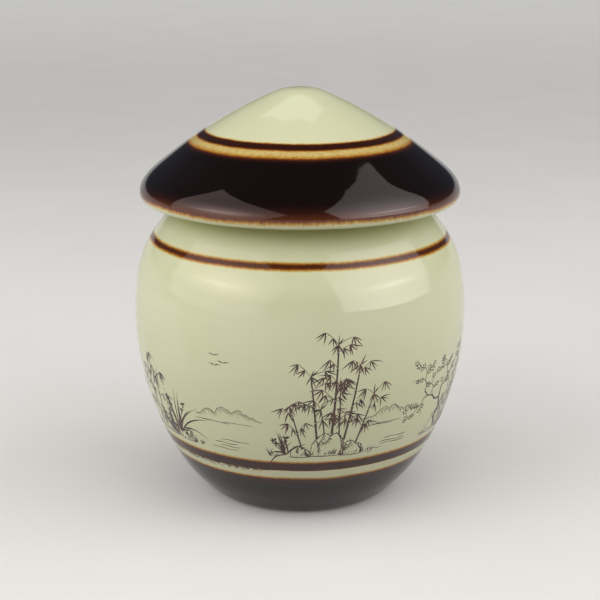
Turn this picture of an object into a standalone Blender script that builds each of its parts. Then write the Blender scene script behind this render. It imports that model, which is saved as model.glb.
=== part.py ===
"""A lidded stoneware storage jar: a round body, a pointed hat of a lid, and the ring that seals it.

Run it with: blender --background --python part.py
Lengths are in metres and +Z is up. The origin is the middle of the foot, on the table.
"""
import math

import bpy
import numpy as np

# Body: the outline that the potter throws, from the foot up to the neck
foot_radius = 0.0482
belly_radius = 0.090
belly_height = 0.100
shoulder_rise = 0.067
neck_radius = 0.0635
neck_height = 0.013
body_wall = 0.006
rim_rounding = 0.0012

# Foot ring and floor
foot_ring_width = 0.0065
foot_recess = 0.0035
foot_bevel = 0.0007
floor_thickness = 0.006

# Lid: a low cone with a rounded tip, whose brim hangs below the seat on the neck's rim
lid_radius = 0.086
lid_height = 0.0588
brim_drop = 0.0171
lid_wall = 0.007
seat_overhang = 0.0012

# Flange: the ring under the lid that goes down inside the neck, with a groove for the seal
flange_gap = 0.0015
flange_wall = 0.005
flange_depth = 0.013
flange_rounding = 0.0010
groove_depth = 0.0020
groove_height = 0.0050
groove_drop = 0.0038

# Seal and fits
fit_clearance = 0.0003
seal_lip_depth = 0.0010

# Fineness of the turned surfaces
turn_steps = 60
body_outline_steps = 18
body_inside_steps = 11
lid_outline_steps = 17
lid_underside_steps = 3
lid_hollow_steps = 6
brim_arc_steps = 4
fine_steps = 240
merge_distance = 0.00001

# Points of the body's outline below the belly: share of the belly's height,
# and share of the way from the foot's radius out to the belly's
lower_body_shares = (
    (0.00, 0.000),
    (0.03, 0.098),
    (0.08, 0.226),
    (0.16, 0.386),
    (0.28, 0.565),
    (0.42, 0.723),
    (0.60, 0.866),
    (0.80, 0.969),
)

# Points from the belly up: share of the way from the belly's height up to the shoulder's top,
# and share of the way from the belly's radius in to the neck's
upper_body_shares = (
    (0.00, 0.000),
    (0.27, 0.038),
    (0.48, 0.148),
    (0.64, 0.352),
    (0.76, 0.566),
    (0.87, 0.778),
    (0.95, 0.928),
    (1.00, 1.000),
)

# Points of the lid's outside, tip to brim: share of the lid's radius,
# and share of the height from the middle of the brim's rounded edge up to the tip
lid_outline_shares = (
    (0.000, 1.000),
    (0.100, 0.988),
    (0.185, 0.940),
    (0.312, 0.848),
    (0.520, 0.669),
    (0.696, 0.490),
    (0.820, 0.345),
    (0.908, 0.236),
    (0.968, 0.142),
    (0.995, 0.062),
    (1.000, 0.000),
)

# Outside of the seal's section, from its top down: share of its height, share of the lips' depth cut away
seal_lip_shares = (
    (0.98, 0.7),
    (0.86, 0.0),
    (0.68, 0.1),
    (0.50, 1.0),
    (0.32, 0.1),
    (0.14, 0.0),
    (0.02, 0.7),
)

# Sizes that follow
shoulder_top_height = belly_height + shoulder_rise
rim_height = shoulder_top_height + neck_height
bore_radius = neck_radius - body_wall
floor_height = foot_recess + floor_thickness
foot_ring_inner_radius = foot_radius - foot_ring_width
seat_height = rim_height + fit_clearance
seat_radius = neck_radius + seat_overhang
brim_edge_radius = lid_wall / 2
flange_radius = bore_radius - flange_gap
flange_inner_radius = flange_radius - flange_wall
seal_middle_drop = groove_drop + groove_height / 2
seal_height = groove_height - 2 * fit_clearance
seal_inner_radius = flange_radius - groove_depth + fit_clearance
seal_outer_radius = bore_radius - fit_clearance


def part_way(start, end, share):
    """Return the value a share of the way from start to end."""
    return start + (end - start) * share


def smooth_through(points):
    """Return fine points on a smooth curve through the given ones: a cubic spline on chord length."""
    knots = np.array(points, dtype=float)
    chords = np.linalg.norm(np.diff(knots, axis=0), axis=1)
    along = np.concatenate(([0.0], np.cumsum(chords)))
    system = np.eye(len(knots))
    pull = np.zeros_like(knots)
    for i in range(1, len(knots) - 1):
        before = chords[i - 1]
        after = chords[i]
        system[i, i - 1:i + 2] = (before, 2 * (before + after), after)
        pull[i] = 6 * ((knots[i + 1] - knots[i]) / after - (knots[i] - knots[i - 1]) / before)
    bend = np.linalg.solve(system, pull)
    curve = []
    for here in np.linspace(0, along[-1], fine_steps):
        i = min(np.searchsorted(along, here, side="right"), len(knots) - 1)
        chord = chords[i - 1]
        left = (along[i] - here) / chord
        right = (here - along[i - 1]) / chord
        straight = left * knots[i - 1] + right * knots[i]
        curved = (left ** 3 - left) * bend[i - 1] + (right ** 3 - right) * bend[i]
        curve.append(straight + curved * chord ** 2 / 6)
    return np.array(curve)


def evenly_spaced(curve, steps):
    """Return steps + 1 points evenly spaced along a fine curve."""
    chords = np.linalg.norm(np.diff(curve, axis=0), axis=1)
    along = np.concatenate(([0.0], np.cumsum(chords)))
    wanted = np.linspace(0, along[-1], steps + 1)
    return np.column_stack([np.interp(wanted, along, curve[:, axis]) for axis in (0, 1)])


def moved_inward(curve, distance):
    """Return a curve that runs outside a solid moved towards its left hand by a distance."""
    direction = np.gradient(curve, axis=0)
    direction /= np.linalg.norm(direction, axis=1)[:, None]
    left_hand = np.column_stack([-direction[:, 1], direction[:, 0]])
    return curve + left_hand * distance


def body_outline():
    """Return the body's outside from the foot's edge up to the neck, as radius and height."""
    points = []
    for height_share, radius_share in lower_body_shares:
        radius = part_way(foot_radius, belly_radius, radius_share)
        points.append((radius, belly_height * height_share))
    for height_share, radius_share in upper_body_shares:
        radius = part_way(belly_radius, neck_radius, radius_share)
        points.append((radius, part_way(belly_height, shoulder_top_height, height_share)))
    return smooth_through(points)


def body_profile():
    """Return the body's section: floor, inside wall, rim, outside, foot ring and underside."""
    outline = body_outline()
    inside = moved_inward(outline, body_wall)
    above_floor = inside[inside[:, 1] > floor_height]
    corner_radius = np.interp(floor_height, inside[:, 1], inside[:, 0])
    inside = np.vstack([(corner_radius, floor_height), above_floor])
    inside_wall = evenly_spaced(inside, body_inside_steps)
    outside_wall = evenly_spaced(outline, body_outline_steps)[::-1]
    foot_edge_radius = np.interp(foot_bevel, outline[:, 1], outline[:, 0])
    above_foot = outside_wall[outside_wall[:, 1] > foot_bevel]
    profile = [(0, floor_height)]
    profile.extend(inside_wall)
    profile.append((bore_radius, shoulder_top_height))
    profile.append((bore_radius, rim_height - rim_rounding))
    profile.append((bore_radius + rim_rounding, rim_height))
    profile.append((neck_radius - rim_rounding, rim_height))
    profile.append((neck_radius, rim_height - rim_rounding))
    profile.extend(above_foot)
    profile.append((foot_edge_radius, foot_bevel))
    profile.append((foot_radius - foot_bevel, 0))
    profile.append((foot_ring_inner_radius + foot_bevel, 0))
    profile.append((foot_ring_inner_radius, foot_bevel))
    profile.append((foot_ring_inner_radius - foot_bevel, foot_recess))
    profile.append((0, foot_recess))
    return profile


def lid_outline():
    """Return the lid's outside from its tip to the brim's edge, with the seat at height zero."""
    edge_height = brim_edge_radius - brim_drop
    tip_height = lid_height - brim_drop
    points = []
    for radius_share, height_share in lid_outline_shares:
        points.append((lid_radius * radius_share, part_way(edge_height, tip_height, height_share)))
    return smooth_through(points)


def brim_edge():
    """Return the points between the ends of the half circle that closes the brim."""
    middle_radius = lid_radius - brim_edge_radius
    middle_height = brim_edge_radius - brim_drop
    points = []
    for i in range(1, brim_arc_steps):
        angle = math.pi * i / brim_arc_steps
        radius = middle_radius + brim_edge_radius * math.cos(angle)
        points.append((radius, middle_height - brim_edge_radius * math.sin(angle)))
    return points


def flange_section():
    """Return the seat, the flange with its groove, and the flange's inner side, as radius and height."""
    groove_radius = flange_radius - groove_depth
    groove_top = -groove_drop
    groove_bottom = groove_top - groove_height
    return [
        (seat_radius, 0),
        (flange_radius, 0),
        (flange_radius, groove_top),
        (groove_radius, groove_top),
        (groove_radius, groove_bottom),
        (flange_radius, groove_bottom),
        (flange_radius, flange_rounding - flange_depth),
        (flange_radius - flange_rounding, -flange_depth),
        (flange_inner_radius + flange_rounding, -flange_depth),
        (flange_inner_radius, flange_rounding - flange_depth),
    ]


def lid_profile():
    """Return the lid's section: outside, brim, underside, seat, flange and the hollow under the tip."""
    outline = lid_outline()
    under = moved_inward(outline, -lid_wall)
    under[0, 0] = 0
    under = under[::-1]
    brim_side = under[under[:, 0] > seat_radius]
    seat_corner_height = np.interp(seat_radius, under[::-1, 0], under[::-1, 1])
    brim_side = np.vstack([brim_side, (seat_radius, seat_corner_height)])
    hollow = under[under[:, 0] < flange_inner_radius]
    hollow_height = np.interp(flange_inner_radius, under[::-1, 0], under[::-1, 1])
    hollow = np.vstack([(flange_inner_radius, hollow_height), hollow])
    profile = list(evenly_spaced(outline, lid_outline_steps))
    profile.extend(brim_edge())
    profile.extend(evenly_spaced(brim_side, lid_underside_steps))
    profile.extend(flange_section())
    profile.extend(evenly_spaced(hollow, lid_hollow_steps))
    return profile


def seal_profile():
    """Return the seal's section, with two soft lips on its outside and its middle at height zero."""
    bottom = -seal_height / 2
    points = [(seal_inner_radius, bottom), (seal_inner_radius, bottom + seal_height)]
    for height_share, cut_share in seal_lip_shares:
        height = bottom + seal_height * height_share
        points.append((seal_outer_radius - seal_lip_depth * cut_share, height))
    return points


def glazed(name, colour, roughness):
    """Return a new material with the part's colour and gloss."""
    material = bpy.data.materials.new(name)
    material.use_nodes = True
    shader = material.node_tree.nodes["Principled BSDF"]
    shader.inputs["Base Color"].default_value = (*colour, 1)
    shader.inputs["Roughness"].default_value = roughness
    shader.inputs["Metallic"].default_value = 0
    return material


def turned(name, profile, is_loop, material, collection, height):
    """Turn a section about the vertical axis into a named solid whose own origin is at a height."""
    mesh = bpy.data.meshes.new(name)
    vertices = [(radius, 0, level) for radius, level in profile]
    edges = [(i, i + 1) for i in range(len(vertices) - 1)]
    if is_loop:
        edges.append((len(vertices) - 1, 0))
    mesh.from_pydata(vertices, edges, [])
    mesh.materials.append(material)
    solid = bpy.data.objects.new(name, mesh)
    solid.location = (0, 0, height)
    screw = solid.modifiers.new("turn", "SCREW")
    screw.axis = "Z"
    screw.angle = 2 * math.pi
    screw.steps = turn_steps
    screw.render_steps = turn_steps
    screw.use_merge_vertices = True
    screw.merge_threshold = merge_distance
    screw.use_smooth_shade = True
    collection.objects.link(solid)
    return solid


def main():
    """Build the jar."""
    for old in list(bpy.data.objects):
        bpy.data.objects.remove(old, do_unlink=True)
    jar = bpy.data.collections.new("storage_jar")
    bpy.context.scene.collection.children.link(jar)
    cream = glazed("cream_glaze", (0.62, 0.64, 0.44), 0.12)
    dark = glazed("dark_brown_glaze", (0.035, 0.016, 0.011), 0.10)
    silicone = glazed("seal_silicone", (0.72, 0.72, 0.68), 0.45)
    turned("jar_body", body_profile(), False, cream, jar, 0)
    turned("lid", lid_profile(), False, dark, jar, seat_height)
    turned("seal_ring", seal_profile(), True, silicone, jar, seat_height - seal_middle_drop)


main()
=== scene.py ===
# %% [markdown]
# A stoneware storage jar is three pieces: a thrown body, a pointed lid whose flange goes down into the
# neck, and a silicone ring in the flange's groove. Their shapes are settled in the part's source and come
# packed as a frame. They could be modelled afresh here, but then picture and part would drift apart, so
# this lesson loads the frame first and shapes every piece from it.

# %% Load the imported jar
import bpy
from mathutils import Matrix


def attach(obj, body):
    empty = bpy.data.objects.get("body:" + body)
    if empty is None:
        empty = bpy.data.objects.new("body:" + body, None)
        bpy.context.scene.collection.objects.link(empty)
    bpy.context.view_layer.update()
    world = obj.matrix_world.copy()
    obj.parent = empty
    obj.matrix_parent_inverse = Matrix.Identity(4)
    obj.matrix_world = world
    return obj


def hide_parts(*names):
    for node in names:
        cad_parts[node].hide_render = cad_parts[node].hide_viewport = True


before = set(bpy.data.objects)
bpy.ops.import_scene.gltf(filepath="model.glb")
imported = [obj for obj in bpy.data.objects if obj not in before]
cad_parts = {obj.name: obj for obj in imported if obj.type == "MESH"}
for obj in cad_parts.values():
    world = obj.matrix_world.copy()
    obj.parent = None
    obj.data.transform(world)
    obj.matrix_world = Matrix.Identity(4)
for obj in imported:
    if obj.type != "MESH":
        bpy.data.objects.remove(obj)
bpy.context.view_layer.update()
print("nodes:", ", ".join(sorted(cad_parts)))

# %% [markdown]
# The camera stands four and a half jar widths in front of the belly and a little above the lid, and looks
# down by fifteen and a half degrees. A shorter lens nearer by would widen the brim against the foot, so
# distance, height and tilt were all fitted to the outline of the real jar before anything else was made.

# %% Camera
import math

import bpy

distance, eye_height = 0.800, 0.327
look_down = math.radians(15.52)


def placed(name, data):
    """Put a new object into the scene."""
    thing = bpy.data.objects.new(name, data)
    bpy.context.scene.collection.objects.link(thing)
    return thing


camera = placed("camera", bpy.data.cameras.new("camera"))
camera.data.sensor_width = 36
camera.data.lens = 90.54
camera.location = (0, -distance, eye_height)
camera.rotation_euler = (math.pi / 2 - look_down, 0, 0)
bpy.context.scene.camera = camera
bpy.context.scene.view_settings.view_transform = "Standard"
print("camera", round(1000 * distance), "mm in front of the axis")

# %% [markdown]
# Body, lid and ring are all turned about one axis, so each is known once its section is known: the line
# that a saw cut through the middle would show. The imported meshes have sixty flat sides. Where their edges
# lie in the half plane of +X they draw that section exactly, so it is read back from there, point by point.
# A flat disc has no point at its middle there, so a line that ends at one is carried on to the axis.

# %% Read a section
import numpy as np

on_plane = 0.000002


def section_of(node):
    """Return a turned node's section as rows of radius and height, a line or a closed loop."""
    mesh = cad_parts[node].data
    spots = {}
    for vertex in mesh.vertices:
        x, y, z = vertex.co
        if abs(y) < on_plane and x > -on_plane:
            spots[vertex.index] = (round(max(x, 0), 6), round(z, 6))
    beside = {}
    for edge in mesh.edges:
        one, other = (spots.get(index) for index in edge.vertices)
        if one and other and one != other:
            beside.setdefault(one, set()).add(other)
            beside.setdefault(other, set()).add(one)
    ends = [spot for spot in beside if len(beside[spot]) == 1]
    here = max(ends or beside, key=lambda spot: spot[1])
    line = [here]
    while True:
        onward = [spot for spot in sorted(beside[here]) if spot not in line]
        if not onward:
            break
        here = onward[0]
        line.append(here)
    if ends and line[0][0] > 0:
        line.insert(0, (0.0, line[0][1]))
    if ends and line[-1][0] > 0:
        line.append((0.0, line[-1][1]))
    return np.array(line)


body_section = section_of("jar_body")
lid_section = section_of("lid")
ring_section = section_of("seal_ring")
print("section points:", len(body_section), len(lid_section), len(ring_section))
print("belly", round(2000 * body_section[:, 0].max(), 1), "mm across")

# %% [markdown]
# Clay never keeps a razor edge: a sponge and the glaze round every corner. A bevel modifier would do, but
# it can't tell a soft curve from a corner on these coarse sections. So the section is first cut into runs
# at its true corners, each run is drawn again with a smooth spline, and each corner gets a small curve of
# its own. Only then is it turned, which keeps the reflections in the glaze free of facets.

# %% Smooth a section
sharp_turn, slight_turn = math.radians(50), math.radians(10)
out_of_straight = 0.006
widest_corner = 0.003


def lengths_along(points):
    """Return how far along a line each of its points lies."""
    return np.concatenate(([0.0], np.cumsum(np.linalg.norm(np.diff(points, axis=0), axis=1))))


def point_at(points, length):
    """Return the point that lies a length along a line."""
    return np.array([np.interp(length, lengths_along(points), points[:, axis]) for axis in (0, 1)])


def spline_through(points, spacing):
    """Return close points on a natural cubic spline through the given ones."""
    along = lengths_along(points)
    chords = np.linalg.norm(np.diff(points, axis=0), axis=1)
    system = np.eye(len(points))
    pull = np.zeros_like(points)
    for i in range(1, len(points) - 1):
        before, after = chords[i - 1], chords[i]
        system[i, i - 1:i + 2] = (before, 2 * (before + after), after)
        pull[i] = 6 * ((points[i + 1] - points[i]) / after - (points[i] - points[i - 1]) / before)
    bend = np.linalg.solve(system, pull)
    curve = []
    for here in np.linspace(0, along[-1], max(2, round(along[-1] / spacing) + 1)):
        i = min(max(np.searchsorted(along, here), 1), len(points) - 1)
        left = (along[i] - here) / chords[i - 1]
        right = 1 - left
        bent = (left ** 3 - left) * bend[i - 1] + (right ** 3 - right) * bend[i]
        curve.append(left * points[i - 1] + right * points[i] + bent * chords[i - 1] ** 2 / 6)
    return np.array(curve)


def is_corner(before, here, after):
    """Say whether a section turns sharply at a point, or leaves a level or upright stretch there."""
    arriving, leaving = here - before, after - here
    turn = abs(math.atan2(arriving[0] * leaving[1] - arriving[1] * leaving[0], arriving @ leaving))
    straight = any(min(abs(side)) < out_of_straight * np.linalg.norm(side) for side in (arriving, leaving))
    return turn > sharp_turn or (straight and turn > slight_turn)


def smooth_section(points, is_loop, corner_share, spacing=0.0012):
    """Return a section with splined runs and rounded corners, as close points."""
    count = len(points)
    inner = range(count) if is_loop else range(1, count - 1)
    corners = [i for i in inner if is_corner(points[i - 1], points[i], points[(i + 1) % count])]
    marks = corners + [corners[0] + count] if is_loop else [0] + corners + [count - 1]
    drawn = []
    for start, stop in zip(marks, marks[1:]):
        run = spline_through(np.array([points[i % count] for i in range(start, stop + 1)]), spacing)
        drawn.append((run, min(corner_share * lengths_along(run)[-1], widest_corner)))
    result = []
    for number, (run, cut) in enumerate(drawn):
        following, next_cut = drawn[(number + 1) % len(drawn)]
        is_last = number == len(drawn) - 1 and not is_loop
        lengths = lengths_along(run)
        reach = min(drawn[number - 1][1], cut) if number or is_loop else 0
        next_reach = 0 if is_last else min(cut, next_cut)
        turn_off = lengths[-1] - next_reach
        leaving = point_at(run, turn_off)
        kept = [point for point, length in zip(run, lengths) if reach < length < turn_off]
        result.extend([point_at(run, reach), *kept, leaving])
        if not is_last:
            landing = point_at(following, next_reach)
            for share in (0.2, 0.4, 0.6, 0.8):
                first = leaving * (1 - share) + run[-1] * share
                second = run[-1] * (1 - share) + landing * share
                result.append(first * (1 - share) + second * share)
    return np.array(result)


fine_body = smooth_section(body_section, False, 0.30)
fine_lid = smooth_section(lid_section, False, 0.18)
fine_ring = smooth_section(ring_section, True, 0.14, spacing=0.0003)
print("smooth section points:", len(fine_body), len(fine_lid), len(fine_ring))

# %% [markdown]
# A potter's wheel leaves a wall a tenth of a millimetre out of true here and there, and the kiln adds a
# little more. Noise in a displacement modifier would work, but inside and outside must lean together or
# the wall would thin. A few slow waves in angle and height, added to every radius alike, do that.

# %% Turn a section
import bmesh

turn_steps = 180
on_axis = 0.00001
belly_middle, belly_reach = 0.095, 0.038
crown_middle, crown_reach = 0.206, 0.011
out_of_true = 0.00008


def lean(angle, height):
    """Return how far the wall stands out of true, in metres: none at foot, neck and rim."""
    belly = math.exp(-((height - belly_middle) / belly_reach) ** 4)
    crown = math.exp(-((height - crown_middle) / crown_reach) ** 4)
    slow = math.sin(2 * angle + 0.7 + 9 * height) + 0.6 * math.sin(3 * angle + 31 * height + 2.1)
    rings = 0.22 * math.sin(height * 900 + 0.8 * math.sin(angle))
    return out_of_true * (slow * (belly + 0.6 * crown) + rings * belly)


def finished(name, mesh, smooth=True):
    """Turn all faces outward, shade them and put the mesh into the scene."""
    work = bmesh.new()
    work.from_mesh(mesh)
    bmesh.ops.recalc_face_normals(work, faces=work.faces)
    work.to_mesh(mesh)
    work.free()
    mesh.polygons.foreach_set("use_smooth", [smooth] * len(mesh.polygons))
    print(name, len(mesh.vertices), "vertices,", len(mesh.polygons), "faces")
    return placed(name, mesh)


def turned(name, section, is_loop, finishes, finish_at):
    """Turn a section into a closed, smooth mesh object. finish_at gives each section point its finish."""
    vertices, rings = [], []
    for radius, height in section:
        steps = 1 if radius < on_axis else turn_steps
        rings.append(range(len(vertices), len(vertices) + steps))
        for step in range(steps):
            angle = 2 * math.pi * step / turn_steps
            out = radius + lean(angle, height) if steps > 1 else 0
            vertices.append((out * math.cos(angle), out * math.sin(angle), height))
    faces, numbers = [], []
    pairs = list(zip(range(len(rings)), range(1, len(rings)))) + ([(len(rings) - 1, 0)] if is_loop else [])
    for one, other in pairs:
        for step in range(turn_steps):
            after = (step + 1) % turn_steps
            corners = [rings[one][step % len(rings[one])], rings[one][after % len(rings[one])],
                       rings[other][after % len(rings[other])], rings[other][step % len(rings[other])]]
            faces.append(list(dict.fromkeys(corners)))
            numbers.append(finish_at(one))
    mesh = bpy.data.meshes.new(name)
    mesh.from_pydata(vertices, [], faces)
    for finish in finishes:
        mesh.materials.append(finish)
    mesh.polygons.foreach_set("material_index", numbers)
    return finished(name, mesh)


print("a section is turned in", turn_steps, "steps")

# %% [markdown]
# Every finish below is a small recipe of nodes. Written out one by one they would bury the recipe, so a few
# helpers come first: they add a node, do sums, climb smoothly from 0 to 1 between two levels, give noise of
# a stated grain, and mix colours. Colours are written as a paint chart gives them, 0 to 255.

# %% Helpers for finishes
def colour(red, green, blue):
    """Return a colour from a paint chart's 0 to 255 as the linear colour that Blender mixes."""
    return tuple(c / 12.92 if c <= 0.04045 else ((c + 0.055) / 1.055) ** 2.4
                 for c in (red / 255, green / 255, blue / 255)) + (1,)


def add(finish, kind, inputs, **settings):
    """Add a node. Inputs are numbers, colours or the outputs of other nodes, by name or number."""
    node = finish.node_tree.nodes.new("ShaderNode" + kind)
    for setting, value in settings.items():
        setattr(node, setting, value)
    for key, value in inputs.items():
        if isinstance(value, bpy.types.NodeSocket):
            finish.node_tree.links.new(value, node.inputs[key])
        else:
            node.inputs[key].default_value = value
    return node


def maths(finish, operation, *values):
    """Return the outcome of one sum on numbers or outputs."""
    return add(finish, "Math", dict(enumerate(values)), operation=operation).outputs[0]


def plus(finish, one, other):
    """Return a sum."""
    return maths(finish, "ADD", one, other)


def times(finish, one, other):
    """Return a product."""
    return maths(finish, "MULTIPLY", one, other)


def rest_of(finish, share):
    """Return what a share leaves of the whole."""
    return maths(finish, "SUBTRACT", 1.0, share)


def climb(finish, value, low, high):
    """Return 0 below one level, 1 above another, and a smooth climb between them."""
    limits = {"Value": value, "From Min": low, "From Max": high}
    return add(finish, "MapRange", limits, interpolation_type="SMOOTHSTEP").outputs["Result"]


def grain(finish, size_mm, detail=2.0, roughness=0.5, tall=1.0):
    """Return noise from -0.5 to 0.5 whose blots are about a stated size, and tall times as high as wide."""
    place = add(finish, "TexCoord", {}).outputs["Object"]
    if tall != 1.0:
        place = add(finish, "VectorMath", {0: place, 1: (1, 1, 1 / tall)}, operation="MULTIPLY").outputs[0]
    settings = {"Vector": place, "Scale": 1000 / size_mm, "Detail": detail, "Roughness": roughness}
    return maths(finish, "SUBTRACT", add(finish, "TexNoise", settings).outputs[0], 0.5)


def new_finish(name):
    """Return a new material and its shader."""
    finish = bpy.data.materials.new(name)
    finish.use_nodes = True
    return finish, finish.node_tree.nodes["Principled BSDF"]


def chart(finish, amount, stops):
    """Return the colour that a chart of amounts and colours gives."""
    ramp = add(finish, "ValToRGB", {0: amount})
    while len(ramp.color_ramp.elements) < len(stops):
        ramp.color_ramp.elements.new(0.5)
    for element, (position, shade) in zip(ramp.color_ramp.elements, stops):
        element.position = position
        element.color = shade
    return ramp.outputs[0]


def blend(finish, share, one, other):
    """Return a colour between two, by share."""
    return add(finish, "Mix", {0: share, 6: one, 7: other}, data_type="RGBA").outputs[2]


def link(finish, source, shader, name):
    """Join an output to a named input of the shader."""
    finish.node_tree.links.new(source, shader.inputs[name])


print("paint chart check:", [round(c, 3) for c in colour(212, 211, 178)])

# %% [markdown]
# The jar wears two glazes. It is dipped in cream all over, and bands of a dark iron glaze are then laid on
# with a brush while it turns. Where the dark glaze is thick it fires almost black, and where it thins out
# it breaks to red-brown, amber and straw. Painting each of those rings would look drawn. Instead one number,
# the thickness of the dark glaze, is worked out all over the pot, and a single chart turns thickness into
# colour, so every edge gets its amber halo by itself, wide where the edge is soft and thin where it is hard.

# %% From thickness to colour
iron_glaze = [
    (0.00, colour(211, 212, 177)),
    (0.06, colour(212, 204, 152)),
    (0.12, colour(203, 184, 121)),
    (0.22, colour(190, 155, 82)),
    (0.32, colour(180, 128, 50)),
    (0.44, colour(138, 84, 27)),
    (0.55, colour(98, 48, 16)),
    (0.66, colour(70, 33, 15)),
    (0.78, colour(44, 18, 12)),
    (1.00, colour(18, 9, 8)),
]


def place_on_pot(finish):
    """Return a point's height, its distance from the jar's axis, and its place to the right and back."""
    place = add(finish, "SeparateXYZ", {0: add(finish, "TexCoord", {}).outputs["Object"]}).outputs
    across = plus(finish, times(finish, place[0], place[0]), times(finish, place[1], place[1]))
    return place[2], maths(finish, "SQRT", across), place[:2]


def band(finish, height, low_edge, high_edge, thickness):
    """Return a band's thickness of dark glaze. Each edge is where it starts and where it is full."""
    rise = climb(finish, height, *low_edge)
    fall = climb(finish, height, *high_edge)
    return times(finish, maths(finish, "SUBTRACT", rise, fall), thickness)


def brushed_height(finish, height, wander, ragged):
    """Return the height as the brush followed it: it wanders slowly and its edge is a little ragged."""
    slow = times(finish, grain(finish, 26, 1.0), wander)
    quick = times(finish, grain(finish, 1.6, 3.0, 0.6), ragged)
    return plus(finish, height, plus(finish, slow, quick))


print("chart of", len(iron_glaze), "colours, from cream to", [round(c, 4) for c in iron_glaze[-1][1][:3]])

# %% [markdown]
# Under both glazes the clay is a buff stoneware. It shows where the potter wiped the glaze off so that the
# piece wouldn't stick to the kiln shelf or to its own lid: the foot ring, the rim, the seat and the flange.
# Glaze and bare clay could be two materials split along an edge of the mesh, but a wiped line is never that
# straight, so they share one shader and a mask with a noisy edge chooses between them.

# %% Glaze over clay
buff_clay = colour(190, 163, 126)
glaze_ior = 1.52
rim_wipe = (0.1790, 0.1793)


def wiped_height(finish, height):
    """Return the height as the sponge followed it that wiped the clay bare."""
    return plus(finish, height, times(finish, grain(finish, 2.5, 3.0), 0.0005))


def fire(finish, shader, dark, bare, specks=0.35, painted_neck_shade=None):
    """Finish a pot: glazes by thickness of the dark one, and bare clay where the mask says so."""
    thinness = band(finish, dark, (0.02, 0.14), (0.40, 0.75), 1.0)
    broken = plus(finish, grain(finish, 2.2, 4.0, 0.65), times(finish, grain(finish, 0.9, 3.0, 0.7), 0.8))
    mottled = maths(finish, "MULTIPLY_ADD", times(finish, broken, thinness), 0.30, dark)
    glaze = chart(finish, mottled, iron_glaze)
    cloud = climb(finish, grain(finish, 38, 3.0), -0.16, 0.20)
    thin = rest_of(finish, climb(finish, dark, 0.0, 0.12))
    glaze = blend(finish, times(finish, times(finish, cloud, thin), 0.32), glaze, colour(204, 208, 165))
    # Painted shade: where a mask is given, the glaze is blended towards a darker, greener olive that stands
    # in for the shade under the lid's brim.
    if painted_neck_shade:
        glaze = blend(finish, painted_neck_shade, glaze, colour(170, 172, 94))
    spot = add(finish, "TexCoord", {}).outputs["Object"]
    cells = add(finish, "TexVoronoi", {"Vector": spot, "Scale": 210.0})
    dot = rest_of(finish, climb(finish, cells.outputs["Distance"], 0.035, 0.085))
    few = climb(finish, add(finish, "SeparateColor", {0: cells.outputs["Color"]}).outputs[0], 0.90, 0.99)
    glaze = blend(finish, times(finish, times(finish, dot, few), specks), glaze, colour(96, 66, 40))
    sandy = climb(finish, grain(finish, 0.7, 3.0), -0.2, 0.2)
    clay_tone = blend(finish, sandy, buff_clay, colour(164, 132, 96))
    link(finish, blend(finish, bare, glaze, clay_tone), shader, "Base Color")
    gloss = maths(finish, "MULTIPLY_ADD", grain(finish, 7, 3.0), 0.05, 0.045)
    link(finish, plus(finish, gloss, times(finish, bare, 0.68)), shader, "Roughness")
    waves, pits = grain(finish, 9, 1.0), grain(finish, 2.4, 2.0)
    peel = plus(finish, times(finish, waves, 0.6), times(finish, pits, 0.08))
    grit = times(finish, grain(finish, 0.45, 3.0, 0.7), times(finish, bare, 4.0))
    relief = plus(finish, peel, plus(finish, grit, times(finish, dark, 1.2)))
    bump = add(finish, "Bump", {"Strength": 1.0, "Distance": 0.00004, "Height": relief})
    link(finish, bump.outputs[0], shader, "Normal")
    shader.inputs["IOR"].default_value = glaze_ior
    print(finish.name, len(finish.node_tree.nodes), "nodes")


print("bare rim from", 1000 * rim_wipe[0], "mm up")

# %% [markdown]
# The body has a dark foot zone, a gap of cream, one line just above it and one line on the shoulder, both
# thinner than the foot zone and so more brown than black. On the lower line the brush ran nearly dry over
# the front left, and its hairs frayed the under edge there into short level streaks. The mask for that is a
# direction: how squarely a point lies towards the front left of the axis.

# %% Body outside
under_foot = (-0.06, -0.05)
coat, shader = new_finish("body_cream_and_iron_glaze")
height, across, place = place_on_pot(coat)
brushed = brushed_height(coat, height, 0.0012, 0.00040)
towards = maths(coat, "DIVIDE", plus(coat, place[0], place[1]), across)
streaks = climb(coat, grain(coat, 2.2, 4.0, 0.72, 0.30), -0.06, 0.12)
front_left = climb(coat, towards, -1.12, -1.34)
frayed = times(coat, times(coat, front_left, streaks), 0.0022)
foot_zone = plus(coat, band(coat, brushed, under_foot, (0.0274, 0.0302), 0.66),
                 band(coat, brushed, under_foot, (0.0225, 0.0285), 0.34))
line_foot = climb(coat, plus(coat, brushed, frayed), 0.0338, 0.0346)
line_top = climb(coat, brushed, 0.0380, 0.0412)
low_line = times(coat, line_foot, maths(coat, "MULTIPLY_ADD", line_top, -0.74, 0.74))
shoulder_line = band(coat, brushed, (0.1411, 0.1436), (0.1440, 0.1464), 0.64)
dark = plus(coat, foot_zone, plus(coat, low_line, shoulder_line))
wiped = wiped_height(coat, height)
foot_bare = rest_of(coat, climb(coat, wiped, 0.0006, 0.0008))
rim_bare = climb(coat, wiped, *rim_wipe)
# Painted shade under the brim: a darker, greener band round the neck and the top of the shoulder.
painted_neck_shade = band(coat, height, (0.1490, 0.1640), (0.1675, 0.1735), 0.85)
fire(coat, shader, dark, plus(coat, foot_bare, rim_bare), painted_neck_shade=painted_neck_shade)
body_coats = [coat]

# %% [markdown]
# Inside there is cream only. It was poured in, swilled round and poured out, which leaves an even coat.
# The rim is wiped bare like the foot, so the mask for it is the same as outside and the two finishes meet.

# %% Body inside
coat, shader = new_finish("body_cream_glaze_inside")
height = place_on_pot(coat)[0]
fire(coat, shader, 0.0, climb(coat, wiped_height(coat, height), *rim_wipe))
body_coats.append(coat)

# %% [markdown]
# The body itself: the smooth section, turned. The points from the floor up to the rim's inner edge wear the
# inside finish and all others the outside one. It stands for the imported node, which stays in the
# simulation, and it rides on the jar.

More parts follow.
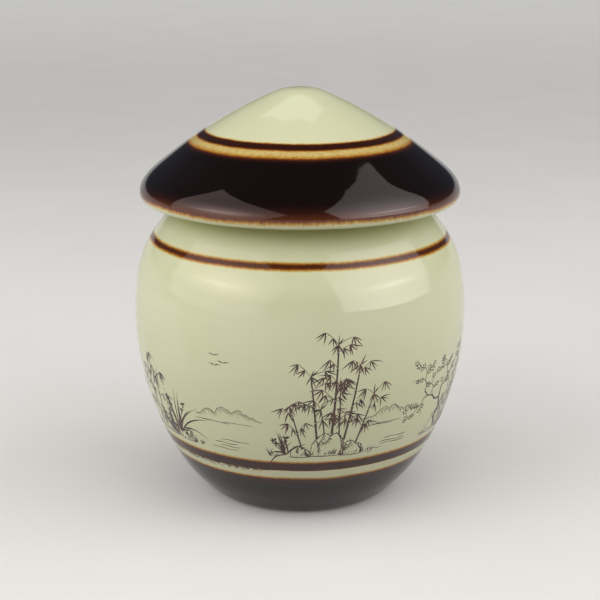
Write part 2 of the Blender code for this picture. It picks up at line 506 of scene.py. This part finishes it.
# %% Body
rim_height, rim_round = body_section[:, 1].max(), 0.0011
inside_points = int(np.argmax(fine_body[:, 1] > rim_height - rim_round))
body = turned("stoneware_body", fine_body, False, body_coats, lambda number: int(number < inside_points))
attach(body, "jar")
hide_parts("jar_body")

# %% [markdown]
# The lid is cream at its top, then come one dark line, a straw-coloured band that got only a thin wash of
# the dark glaze, and the broad dark zone down to the brim. Over the brim's turn the glaze slid off while it
# was molten: there it goes through red-brown and amber to cream within a few millimetres. All of this
# follows height, because the lid's outside only ever falls from its tip to the brim.

# %% Lid outside
under_brim = (0.10, 0.11)
coat, shader = new_finish("lid_cream_and_iron_glaze")
height = place_on_pot(coat)[0]
brushed = brushed_height(coat, height, 0.0007, 0.00038)
runs = maths(coat, "MULTIPLY_ADD", grain(coat, 1.5, 3.0, 0.6, 5.0), 0.0016, brushed)
runs = maths(coat, "MULTIPLY_ADD", grain(coat, 34, 1.0), 0.0022, runs)
thin_line = band(coat, brushed, (0.1965, 0.1981), (0.1992, 0.2005), 0.76)
wash = band(coat, brushed, (0.1935, 0.1958), (0.1966, 0.1986), 0.15)
edge = band(coat, brushed, under_brim, (0.1931, 0.1957), 0.54)
deep = band(coat, brushed, under_brim, (0.1915, 0.1945), 0.48)
run_off = maths(coat, "MULTIPLY_ADD", climb(coat, runs, 0.1645, 0.1683), 0.58,
                times(coat, climb(coat, runs, 0.1676, 0.1762), 0.42))
zone = times(coat, plus(coat, edge, deep), run_off)
dark = plus(coat, plus(coat, thin_line, wash), zone)
fire(coat, shader, dark, 0.0, specks=0.25)
lid_coats = [coat]

# %% [markdown]
# Under the brim and in the hollow of the tip the lid is cream. Seat and flange are bare clay, wiped so that
# the lid could be fired in its place on the jar without sticking. Radius bounds the bare clay outwards and
# height bounds it upwards, both with the same noisy wipe.

# %% Lid underside
seat_edge, hollow_foot = (0.0664, 0.0667), (0.1822, 0.1825)
coat, shader = new_finish("lid_cream_glaze_underside")
height, across = place_on_pot(coat)[:2]
wipe = times(coat, grain(coat, 3.0, 3.0), 0.0012)
near_axis = rest_of(coat, climb(coat, plus(coat, across, wipe), *seat_edge))
below = rest_of(coat, climb(coat, plus(coat, height, wipe), *hollow_foot))
fire(coat, shader, 0.0, times(coat, near_axis, below))
lid_coats.append(coat)

# %% [markdown]
# The lid is turned in the same way. Its section starts at the tip, falls to the brim's lowest point and goes
# back up underneath. The two finishes could meet at a height, but the seat's underside lies as high as the
# dark zone, so they are split at the point itself: the lowest one of the outer part.

# %% Lid
brim_inner = 0.075
outer_part = fine_lid[:len(fine_lid) * 2 // 3]
brim_foot = int(np.argmin(outer_part[:, 1] + (outer_part[:, 0] < brim_inner)))
lid = turned("stoneware_lid", fine_lid, False, lid_coats, lambda number: int(number >= brim_foot))
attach(lid, "lid")
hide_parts("lid")

# %% [markdown]
# The ring that seals the jar is food-grade silicone, milky and a little dusty. It has two soft lips, and
# hardly any of it shows until the lid is lifted. A glass-like shader would be too clear, so it is an opaque
# white with a faint warm cloud and a satin gloss.

# %% Seal ring
silicone, shader = new_finish("milky_silicone")
dust = climb(silicone, grain(silicone, 6, 4.0, 0.6), -0.2, 0.25)
link(silicone, blend(silicone, dust, colour(222, 220, 208), colour(206, 204, 190)), shader, "Base Color")
link(silicone, maths(silicone, "MULTIPLY_ADD", grain(silicone, 1.2, 3.0), 0.16, 0.42), shader, "Roughness")
skin = add(silicone, "Bump", {"Strength": 0.6, "Distance": 0.00003, "Height": grain(silicone, 0.8, 3.0)})
link(silicone, skin.outputs[0], shader, "Normal")
ring = turned("silicone_ring", fine_ring, True, [silicone], lambda number: 0)
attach(ring, "seal")
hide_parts("seal_ring")

# %% [markdown]
# Between the lower line and the shoulder the belly carries a frieze in brown ink: bamboo, plum, orchids and
# stones, planted in clumps all the way round. An image could be wrapped round it, but strokes made as
# geometry stay crisp in every view. Each stroke is a flat ribbon of ink that lies three hundredths of a
# millimetre proud of the glaze and has its edges sunk in it. Strokes are laid out on flat paper, in
# millimetres across from the front's middle and up from the table, and bent round the belly point by point.

# %% Paper to belly
paper_radius = 88
ink_proud, ink_sunk = 0.03, -0.06
belly_foot, belly_top = 0.02, 0.16
outer = fine_body[inside_points:]
belly_line = outer[(outer[:, 1] > belly_foot) & (outer[:, 1] < belly_top)][::-1]
belly_slope = np.gradient(belly_line[:, 0], belly_line[:, 1])


def on_belly(across, up, proud):
    """Return the point over the belly's glaze for a place on the paper, in metres."""
    height = up / 1000
    angle = across / paper_radius - math.pi / 2
    slope = np.interp(height, belly_line[:, 1], belly_slope)
    radius = np.interp(height, belly_line[:, 1], belly_line[:, 0]) + lean(angle, height)
    tilt = math.hypot(1, slope)
    out = radius + proud / 1000 / tilt
    return out * math.cos(angle), out * math.sin(angle), height - proud / 1000 * slope / tilt


ink_vertices, ink_faces = [], []


def lay(points, widths):
    """Lay one stroke of ink along points on the paper, with a width at each, as a closed ribbon."""
    points = np.array(points, dtype=float)
    ahead = np.gradient(points, axis=0)
    ahead /= np.linalg.norm(ahead, axis=1)[:, None] + 1e-9
    first = len(ink_vertices)
    for (across, up), (run, climbs), width in zip(points, ahead, widths):
        for side, proud in ((0.5, ink_proud), (-0.5, ink_proud), (-0.5, ink_sunk), (0.5, ink_sunk)):
            ink_vertices.append(on_belly(across - climbs * side * width, up + run * side * width, proud))
    for i in range(len(points) - 1):
        here = first + 4 * i
        for k in range(4):
            ink_faces.append((here + k, here + (k + 1) % 4, here + 4 + (k + 1) % 4, here + 4 + k))
    last = first + 4 * (len(points) - 1)
    ink_faces.append((first, first + 3, first + 2, first + 1))
    ink_faces.append((last, last + 1, last + 2, last + 3))


print("belly of the print:", round(1000 * belly_line[0, 1]), "to", round(1000 * belly_line[-1, 1]), "mm up")

# %% [markdown]
# A brush makes few kinds of mark. Pressed down and lifted as it moves it leaves a leaf; dragged along with
# a steady hand it leaves a line. Both are one function here: a path that starts in some direction and keeps
# turning, with a width that swells and fades. Chance comes from one seeded source, so the garden is the same
# on every run.

# %% Marks of the brush
import random

chance = random.Random(11)
between, about, pick = chance.uniform, chance.gauss, chance.choice
point_spacing = 0.9


def path(start, heading, length, bend, steps):
    """Return points that leave start at a heading in degrees and turn by bend degrees on the way."""
    points = [start]
    for i in range(steps):
        angle = math.radians(heading + bend * (i + 0.5) / steps)
        last = points[-1]
        points.append((last[0] + math.cos(angle) * length / steps,
                       last[1] + math.sin(angle) * length / steps))
    return points


def leaf(start, heading, length, width, bend=0.0, swell=0.62):
    """Lay a leaf: fine at its stalk, widest before its middle, and drawn out to a point."""
    steps = max(3, min(24, round(length / point_spacing)))
    points = path(start, heading, length, bend, steps)
    shares = [i / steps for i in range(steps + 1)]
    lay(points, [max(0.10, width * math.sin(math.pi * share ** swell) ** 0.85) for share in shares])
    return points[-1]


def line(points, width, fade=0.45):
    """Lay a line through points with a hand that presses unevenly and fades at both ends."""
    close = spline_through(np.array(points, dtype=float), point_spacing)
    count = len(close)
    beat = between(0, 6)
    widths = []
    for i in range(count):
        share = i / max(1, count - 1)
        edge = min(1.0, 4 * min(share, 1 - share) + fade)
        widths.append(width * edge * (1 + 0.22 * math.sin(beat + 9 * share)))
    lay(close, widths)


def tuft(across, up, height, blades):
    """Lay a tuft of short grass."""
    for _ in range(blades):
        heading = about(90, 26)
        leaf((across + between(-1.4, 1.4), up), heading, height * between(0.5, 1.1), 0.46,
             (90 - heading) * -0.9, 0.5)


print("a stroke has a point every", point_spacing, "mm")

# %% [markdown]
# Bamboo is built as it grows. Each joint of a culm is one loaded stroke, a little wider at both ends, with a
# gap before the next joint and a fine tick in the gap. Twigs rise from the joints and end in sprays of long
# narrow leaves that hang outwards. Leaves that cross stay apart as strokes, so they are kept fine.

# %% Bamboo
lowest_joint, shortest_joint, joint_shrink = 10.0, 6.5, 0.95


def spray(spot, aim, size, count):
    """Lay a spray of leaves that hang from one spot of a twig."""
    for i in range(count):
        off = i - (count - 1) / 2
        leaf(spot, aim + off * 29 + about(0, 6), size * between(0.7, 1.2),
             between(0.55, 0.80), -off * 7 + about(0, 7), 0.7)


def bamboo(across, foot, top, width, tilt, leaf_size=6.2):
    """Lay one culm of bamboo with its twigs and leaves."""
    up, joint, side = foot, lowest_joint, pick((-1, 1))
    while up < top - 1:
        end = min(up + joint, top)
        thick = width * (1 - 0.5 * (up - foot) / (top - foot))
        low, high = across + (up - foot) * tilt, across + (end - foot) * tilt
        shares = [i / 8 for i in range(9)]
        lay([(low + (high - low) * share, up + 0.32 + (end - up - 0.64) * share) for share in shares],
            [thick * (0.86 + 0.22 * (2 * share - 1) ** 4) for share in shares])
        line([(high - thick * 0.55, end + 0.02), (high + thick * 0.60, end + 0.02)], 0.26, 0.9)
        if end > foot + 8:
            for way in (side, -side) if chance.random() < 0.45 else (side,):
                rise = 90 - way * between(28, 58)
                twig = path((high, end), rise, between(4.5, 9.5), -way * between(0, 34), 8)
                line(twig, 0.30)
                spray(twig[-1], -90 + way * between(15, 55), leaf_size, pick((3, 4, 4)))
                if chance.random() < 0.75:
                    spray(twig[4], -90 + way * between(-5, 35), leaf_size * 0.9, pick((2, 3, 3)))
            side = -side
        up, joint = end, max(shortest_joint, joint * joint_shrink)
    tip = (across + (top - foot) * tilt, top)
    spray(tip, about(-90, 25), leaf_size, 4)
    spray(tip, about(60, 20), leaf_size * 0.8, 2)


print("joints of bamboo:", lowest_joint, "mm at the foot and at least", shortest_joint, "mm")

# %% [markdown]
# A garden stone is a lump with folds. Its outline is drawn in short broken strokes, pressed harder on the
# shaded side. Folds start at the outline and run down inside, each with a row of slanting strokes beside it
# that are thick where the brush lands and drawn out to nothing. Dots of moss sit along the top.

# %% Stones
lumps = 9


def stone(across, foot, width, height, folds=3):
    """Lay a stone: a broken outline, folds with slanting strokes beside them, a shaded foot and moss."""
    rough = [between(0.82, 1.14) for _ in range(lumps + 1)]
    edge = []
    for i in range(lumps + 1):
        angle = math.pi * (1 - i / lumps)
        edge.append((across + width / 2 * math.cos(angle) * (0.7 + 0.3 * rough[i]),
                     foot + height * max(0.0, math.sin(angle)) ** 0.7 * rough[i]))
    for i in range(lumps):
        middle = ((edge[i][0] + edge[i + 1][0]) / 2 + about(0, 0.25),
                  (edge[i][1] + edge[i + 1][1]) / 2 + between(0.1, 0.6))
        line([edge[i], middle, edge[i + 1]], between(0.55, 0.75) if i > lumps / 2 else 0.42, 0.6)
    reach = np.array(edge)
    for k in range(folds):
        share = (k + 0.5) / folds - 0.5 + between(-0.08, 0.08)
        head = across + share * width * 0.8
        crown = float(np.interp(head, reach[:, 0], reach[:, 1]))
        fold = path((head, crown), -90 + between(-38, 30), (crown - foot) * between(0.5, 0.85),
                    pick((-1, 1)) * between(15, 60), 8)
        line(fold, 0.46, 0.6)
        for spot in fold[1:]:
            if spot[1] > foot + 0.8:
                leaf(spot, about(-40, 9), between(1.2, 2.8), between(0.34, 0.50), about(-12, 10), 0.5)
    for _ in range(round(width * 1.1)):
        share = chance.random() ** 0.6
        spot = (across - width * 0.46 + width * 0.90 * share, foot + between(0.0, 0.8))
        leaf(spot, about(66, 9), height * between(0.10, 0.26) * (0.4 + share), 0.36, 0.0, 0.7)
    for _ in range(round(width * 0.7)):
        spot = across + between(-0.44, 0.44) * width
        top = float(np.interp(spot, reach[:, 0], reach[:, 1]))
        leaf((spot, top + 0.3), about(70, 30), 1.0, 0.62, 0.0, 0.7)
    line([(across - width * 0.56, foot - 0.1), (across, foot - 0.5), (across + width * 0.58, foot)], 0.50)


print("a stone's outline has", lumps, "lumps")

# %% [markdown]
# Orchids are long grass to the brush: each blade is one stroke that rises, thins where it turns and bends
# over, and the blades cross one another. Flowers stand among them on stalks of their own. Plum is the
# opposite, all angles: the trunk and boughs go up in short steps that swing left and right, each bough much
# thinner than the one before, with small five-petalled blossom on the young twigs.

# %% Orchid and plum
youngest = 3


def orchid(across, foot, size, lean_by=0.0, blades=17):
    """Lay a clump of long grass with arching blades and two stalks of flowers."""
    for i in range(blades):
        heading = 90 + lean_by + about(0, 28)
        droop = (90 - heading) * -1.35 + about(0, 9)
        leaf((across + about(0, 1.5), foot + between(0, 1)), heading,
             size * between(0.45, 1.08), between(0.7, 1.05), droop, 0.55)
    for stalk in (-1, 1):
        route = path((across, foot), 90 + lean_by - stalk * 14, size * 0.74, -stalk * 12, 9)
        line(route, 0.30)
        for spot in (route[-1], route[-3]):
            for heading in (18, 74, 112, 160, 262):
                leaf(spot, heading + about(0, 8), between(1.8, 2.8), 0.85, about(0, 18), 0.8)


def blossom(spot, size):
    """Lay a blossom of five round petals."""
    turn = between(0, 72)
    for petal in range(5):
        angle = math.radians(turn + 72 * petal)
        start = (spot[0] + 0.28 * size * math.cos(angle), spot[1] + 0.28 * size * math.sin(angle))
        leaf(start, turn + 72 * petal, size * 0.62, size * 0.46, 0.0, 0.95)


def bough(spot, heading, length, width, order):
    """Lay a bough of plum and, from it, its younger ones."""
    points, headings = [spot], [heading]
    swing = pick((-1, 1))
    for _ in range(4):
        swing = -swing
        headings.append(heading + swing * between(10, 30))
        angle = math.radians(headings[-1])
        spot = (spot[0] + math.cos(angle) * length / 4, spot[1] + math.sin(angle) * length / 4)
        points.append(spot)
    steps = [np.linspace(one, other, 5)[:-1] for one, other in zip(points, points[1:])]
    close = np.vstack(steps + [[points[-1]]])
    lay(close, np.linspace(width, width * 0.5, len(close)) * [between(0.8, 1.2) for _ in close])
    if order == youngest:
        for place in (1, 2, 3, 4):
            if chance.random() < 0.62:
                away = (points[place][0] + about(0, 0.7), points[place][1] + about(0, 0.7))
                blossom(away, between(1.5, 2.3))
        return
    for place, turn in ((2, 1), (3, -1), (4, pick((-1, 1)))):
        bough(points[place], headings[place] + turn * swing * between(24, 56),
              length * between(0.5, 0.74), width * 0.5, order + 1)


print("a plum tree's boughs fork", youngest, "times")

# %% [markdown]
# Little things fill the room between the clumps. Still water is told by a few level strokes and a far-off
# bird by its two wings. Far hills are drawn like the stones, a broken ridge with slanting strokes down its
# shaded side, but with finer lines, which sets them back without any mist.

# %% Water, birds and hills
ridge_steps = 12


def ripples(across, up, width, count):
    """Lay a few long ripples of water."""
    for i in range(count):
        start = across + between(-0.2, 0.3) * width
        reach = width * between(0.35, 0.8)
        level = up + i * 1.7 + between(-0.3, 0.3)
        line([(start, level), (start + reach * 0.3, level + 0.45), (start + reach * 0.65, level - 0.15),
              (start + reach, level + 0.2)], 0.34)


def bird(across, up, size):
    """Lay a far-off bird: two wings from one body."""
    leaf((across, up), 142, size, 0.6, 46, 0.5)
    leaf((across, up), 30, size * 1.1, 0.6, -42, 0.5)


def hills(across, foot, width, height):
    """Lay far hills: a ridge drawn in broken strokes and slanting strokes down its shaded side."""
    ridge = []
    for i in range(ridge_steps + 1):
        rise = 0.25 + 0.75 * math.sin(math.pi * i / ridge_steps)
        ridge.append((across + width * i / ridge_steps, foot + height * rise * between(0.55, 1.1)))
    for one, other in zip(ridge, ridge[1:]):
        middle = ((one[0] + other[0]) / 2, (one[1] + other[1]) / 2 + between(-0.2, 0.9))
        line([one, middle, other], 0.34, 0.5)
        for share in (0.15, 0.4, 0.65, 0.9):
            spot = (one[0] + (other[0] - one[0]) * share, one[1] + (other[1] - one[1]) * share)
            leaf(spot, -62 + about(0, 7), (spot[1] - foot) * between(0.15, 0.55), 0.26,
                 about(-10, 8), 0.5)
    for _ in range(3):
        level = foot + between(-1.5, 0.8)
        start = across + width * between(-0.05, 0.5)
        line([(start, level), (start + width * 0.2, level + 0.3), (start + width * 0.45, level - 0.1)], 0.26)


print("a ridge of hills has", ridge_steps, "steps")

# %% [markdown]
# Now the garden is planted: six clumps at even steps round the belly, so that no side is blank. Tall bamboo
# over stones stands a little right of the front's middle and again at the back, plum stands on the right and
# on the left of the back, and orchids with young bamboo take the two places between.

# %% Plant the garden
grass, low_stone, high_stone = 43.6, 43.8, 44.2
culms = [(9, 57, 106, 1.5, 0.04), (16, 53, 95, 1.35, 0.15), (1, 54, 90, 1.3, -0.10), (23, 50, 78, 1.1, 0.26),
         (-7, 48, 74, 1.0, -0.24), (13, 56, 84, 0.9, -0.03), (5, 57, 72, 0.8, -0.16)]


def tufts(at, places):
    """Plant tufts of grass at places beside a clump's middle."""
    for place in places:
        tuft(at + place, grass, between(3.5, 6.0), 6)


def tall_bamboo(at):
    """Plant a thicket of bamboo behind stones."""
    for across, foot, top, width, tilt in culms:
        bamboo(at + across, foot, top, width, tilt)
    stone(at + 7, high_stone, 19, 13.5, 4)
    stone(at + 21, low_stone, 13, 7.5, 3)
    stone(at - 8, low_stone, 11, 6, 2)
    orchid(at - 17, 44.5, 14, 12, 11)
    tufts(at, (-24, -3, 15, 28, 33))


def plum_tree(at):
    """Plant a plum tree that leans over a stone."""
    bough((at - 4, 46), 104, 27, 2.6, 0)
    bough((at + 3, 46), 60, 17, 1.7, 1)
    stone(at - 6, high_stone, 17, 11, 4)
    stone(at + 9, low_stone, 13, 6, 3)
    tufts(at, (-18, 0, 17, 22))


def orchids(at):
    """Plant orchids and young bamboo round a stone."""
    bamboo(at - 14, 48, 84, 1.2, -0.08)
    bamboo(at - 9, 54, 76, 1.0, 0.10)
    orchid(at + 6, 47, 27, -6)
    orchid(at - 2, 45, 18, 10, 12)
    stone(at - 6, high_stone, 20, 12, 5)
    stone(at + 12, low_stone, 12, 6, 3)
    tufts(at, (-22, 2, 18, 23))


around, first_clump = 2 * math.pi * paper_radius, 8
planting = (tall_bamboo, plum_tree, orchids) * 2
for number, clump in enumerate(planting):
    middle = first_clump + around * number / len(planting)
    beside = middle + around / (2 * len(planting))
    clump(middle)
    ripples(beside - 12, 45.0, 24, 4)
    hills(beside - 22, 61, 40, 9)
    if number % 2 == 1:
        for _ in range(3):
            bird(beside + about(0, 9), between(92, 106), between(2.6, 3.8))
print("garden:", len(ink_vertices), "vertices,", len(ink_faces), "faces")

# %% [markdown]
# The ink is an iron brown under the same gloss as the glaze. Where the brush was loaded it is nearly black,
# and where it ran dry the cream shines through. Some strokes could get a darker finish than others, but a
# brush changes within a stroke. So noise does it, a wide one for the load and a fine one for dry spots.

# %% Ink
ink, shader = new_finish("brown_underglaze_ink")
load = climb(ink, grain(ink, 9, 3.0), -0.22, 0.22)
dry = climb(ink, grain(ink, 0.8, 4.0, 0.7), 0.02, 0.26)
tone = blend(ink, load, colour(58, 36, 34), colour(88, 60, 54))
link(ink, blend(ink, times(ink, dry, 0.45), tone, colour(150, 128, 104)), shader, "Base Color")
link(ink, maths(ink, "MULTIPLY_ADD", grain(ink, 3, 3.0), 0.06, 0.10), shader, "Roughness")
ink_relief = add(ink, "Bump", {"Strength": 0.5, "Distance": 0.00002, "Height": grain(ink, 1.0, 2.0)})
link(ink, ink_relief.outputs[0], shader, "Normal")
shader.inputs["IOR"].default_value = glaze_ior
ink_mesh = bpy.data.meshes.new("garden_print")
ink_mesh.from_pydata(ink_vertices, [], ink_faces)
ink_mesh.materials.append(ink)
garden = finished("garden_print", ink_mesh, smooth=False)
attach(garden, "jar")

# %% [markdown]
# The jar stands on a plain pale floor that runs on behind it to the horizon. The floor is paper, so it has
# almost no gloss and a faint unevenness. White paper would throw so much light up that the shade under belly
# and brim were lost. So to the camera, and in the glaze's reflections, the paper is pale, and the light that
# it hands on is that of a grey one. Farther off, where the lamps don't reach, it keeps its paleness.

# %% Floor
half = 12
floor_mesh = bpy.data.meshes.new("floor")
floor_mesh.from_pydata([(-half, -half, 0), (half, -half, 0), (half, half, 0), (-half, half, 0)], [],
                       [(0, 1, 2, 3)])
paper, shader = new_finish("pale_paper")
tooth = climb(paper, grain(paper, 120, 2.0), -0.3, 0.3)
seen_by = add(paper, "LightPath", {}).outputs
seen = maths(paper, "MAXIMUM", seen_by["Is Camera Ray"],
             maths(paper, "MAXIMUM", seen_by["Is Glossy Ray"], seen_by["Is Transmission Ray"]))
pale = blend(paper, tooth, colour(220, 219, 217), colour(223, 222, 220))
spot = add(paper, "TexCoord", {}).outputs["Object"]
far = climb(paper, add(paper, "VectorMath", {0: spot}, operation="LENGTH").outputs["Value"], 0.3, 3.5)
shown = blend(paper, times(paper, far, 0.62), pale, colour(0, 0, 0))
link(paper, blend(paper, seen, colour(138, 136, 132), shown), shader, "Base Color")
link(paper, pale, shader, "Emission Color")
link(paper, times(paper, maths(paper, "MULTIPLY_ADD", far, 0.54, 0.04), seen), shader, "Emission Strength")
link(paper, maths(paper, "MULTIPLY_ADD", grain(paper, 2, 2.0), 0.1, 0.9), shader, "Roughness")
floor_mesh.materials.append(paper)
floor = placed("floor", floor_mesh)
print("floor", 2 * half, "m square")

# %% [markdown]
# Glossy ware shows its lamps, so they are built like a studio's. A softbox is a frame of white cloth with a
# tube lamp behind it: the cloth glows more towards the tube and has a bright bar where the tube is, which
# draws the thin bright line along the brim. A black card, a flag, can cut off a corner. An image could tell
# how bright the cloth is, but a sum on the place on the cloth is crisp at any size and easy to shift.

# %% A softbox
from mathutils import Matrix, Vector

flag_blur = 0.008


def cloth(lamp, glows, flag):
    """Return how bright the cloth is, by place. Each glow is a place on the cloth, a spread along and up, a
    slant and how many times brighter it is. A flag has a slope and says how far along the cloth it starts."""
    place = add(lamp, "SeparateXYZ", {0: add(lamp, "NewGeometry", {}).outputs["Parametric"]}).outputs
    bright = 1.0
    for at_along, at_up, spread_along, spread_up, slant, gain in glows:
        off = maths(lamp, "SUBTRACT", place[0], at_along)
        rise = maths(lamp, "SUBTRACT", maths(lamp, "SUBTRACT", place[1], at_up), times(lamp, off, slant))
        off, rise = maths(lamp, "DIVIDE", off, spread_along), maths(lamp, "DIVIDE", rise, spread_up)
        far = plus(lamp, times(lamp, off, off), times(lamp, rise, rise))
        glow = maths(lamp, "EXPONENT", times(lamp, far, -1.0))
        bright = maths(lamp, "MULTIPLY_ADD", glow, gain, bright)
    if flag:
        past = maths(lamp, "MULTIPLY_ADD", place[1], flag[0], place[0])
        bright = times(lamp, bright, climb(lamp, past, flag[1] + flag_blur, flag[1] - flag_blur))
    return bright


def softbox(name, mirrored, middle, along, up, width, height, radiance, tint=(1, 1, 1), glows=(), flag=None):
    """Add a rectangular lamp that is either only mirrored or only throws light: its middle, its sides'
    directions and lengths, and its brightness, 1 for white."""
    lamp = bpy.data.lights.new(name, "AREA")
    lamp.shape = "RECTANGLE"
    lamp.size, lamp.size_y = width, height
    lamp.energy = radiance * math.pi * width * height
    lamp.color = tint
    if glows:
        lamp.use_nodes = True
        strength = lamp.node_tree.nodes["Emission"].inputs["Strength"]
        lamp.node_tree.links.new(cloth(lamp, glows, flag), strength)
    thing = placed(name, lamp)
    along, up = Vector(along).normalized(), Vector(up).normalized()
    turn = Matrix((along, up, along.cross(up))).transposed().to_4x4()
    thing.matrix_world = Matrix.Translation(middle) @ turn
    thing.visible_camera = False
    thing.visible_diffuse, thing.visible_glossy = not mirrored, mirrored
    print(name, round(lamp.energy, 1), "W")


# %% [markdown]
# Two big panels stand left and right and lean over the jar: they draw the pale patches with crisp edges on
# the dark lid and on the belly. One lamp could throw light and be mirrored too, but patches and shade could
# then not be set apart. So each panel is two lamps, one that only throws light and one behind it that is
# only mirrored: five centimetres behind on the left, and eighty on the right.

# %% Panels
thrown_tint = (1.0, 0.98, 0.96)
thrown_glows = [(0.15, 0.575, 0.27, 0.30, 0.0, 1.6), (0.20, 0.51, 0.028, 0.20, 0.0, 2.2)]
softbox("panel_right", False, (1.428, -0.386, 1.694), (-0.301, 0.199, 0.933), (-0.499, -0.866, 0.024),
        3.36, 3.01, 0.60, thrown_tint, thrown_glows)
mirrored_glows = [(0.082, 0.565, 0.425, 0.432, -0.103, 3.6), (0.206, 0.492, 0.028, 0.209, -2.0, 3.4)]
softbox("mirrored_right", True, (1.944, -0.604, 2.282), (-0.319, 0.255, 0.913), (-0.530, -0.847, 0.051),
        4.71, 4.11, 0.80, (1.0, 0.88, 0.87), mirrored_glows, flag=(0.814, 1.34))
middle = Vector((-1.104, -1.050, 0.804))
along, up = Vector((0.203, -0.975, -0.084)), Vector((0.500, 0.030, 0.866))
apart = 0.05
behind = middle + along.cross(up).normalized() * apart
glows = [(0.44, 0.45, 0.27, 0.21, 0.2, 3.2), (0.38, 0.43, 0.16, 0.035, 0.35, 2.4)]
softbox("panel_left_mirrored", True, behind, along, up, 2.81, 1.95, 0.86, (1.0, 0.78, 0.72), glows)
softbox("panel_left_thrown", False, middle, along, up, 2.81, 1.95, 0.86 * 0.80, thrown_tint, glows)

# %% [markdown]
# The panels alone would leave the shade too deep. So soft lights that the glaze doesn't mirror fill in from
# both sides and, a little warm, from above. Turning the panels up instead would burn out the cream. A lamp
# high up behind the jar is only mirrored: it gives the patch on the lid's tip.

# %% Fill lights
fill_distance, aim = 0.95, Vector((0, 0, 0.15))


def side_fill(name, azimuth, elevation, width, height, radiance):
    """Add a soft lamp beside the jar, at an azimuth counted from the front to the right."""
    turn, rise = math.radians(azimuth), math.radians(elevation)
    away = Vector((math.sin(turn) * math.cos(rise), -math.cos(turn) * math.cos(rise), math.sin(rise)))
    along = away.cross(Vector((0, 0, 1))).normalized() * -1
    middle = away * fill_distance + aim
    softbox(name, False, middle, along, away.cross(along), width, height, radiance)


side_fill("fill_right", 90, 26, 1.10, 0.90, 0.83)
side_fill("fill_left", -88, 24, 1.15, 0.95, 0.62)
softbox("lamp_behind", True, (-0.068, 0.981, 2.051), (-0.031, -0.203, -0.979), (-0.992, 0.123, 0.006),
        1.59, 0.83, 0.9)
overhead = bpy.data.lights.new("overhead", "SUN")
overhead.energy = 1.3
overhead.color = (1.0, 0.965, 0.93)
overhead.angle = math.radians(120)
sky_light = placed("overhead", overhead)
sky_light.rotation_euler = (math.radians(12), 0, 0)
sky_light.visible_glossy = False
print("overhead", overhead.energy, "W/m2")

# %% [markdown]
# The room is what the glaze mirrors where no lamp stands: dim and a little blue, which keeps the dark zone of
# the lid deep and cool at its sides. One colour all over would draw a dark horizon behind the floor in low
# views. So the lowest few degrees are as pale as the far floor, and the floor runs on into them.

# %% Room
sky_colours = [
    (0.000, (0.560, 0.555, 0.550, 1)),
    (0.035, (0.500, 0.500, 0.500, 1)),
    (0.100, (0.044, 0.054, 0.068, 1)),
    (0.350, (0.050, 0.061, 0.078, 1)),
    (1.000, (0.038, 0.040, 0.044, 1)),
]
room = bpy.data.worlds.new("room")
room.use_nodes = True
bpy.context.scene.world = room
upness = add(room, "SeparateXYZ", {0: add(room, "TexCoord", {}).outputs["Generated"]}).outputs[2]
link(room, chart(room, upness, sky_colours), room.node_tree.nodes["Background"], "Color")
print("room:", len(sky_colours), "colours from the horizon up")
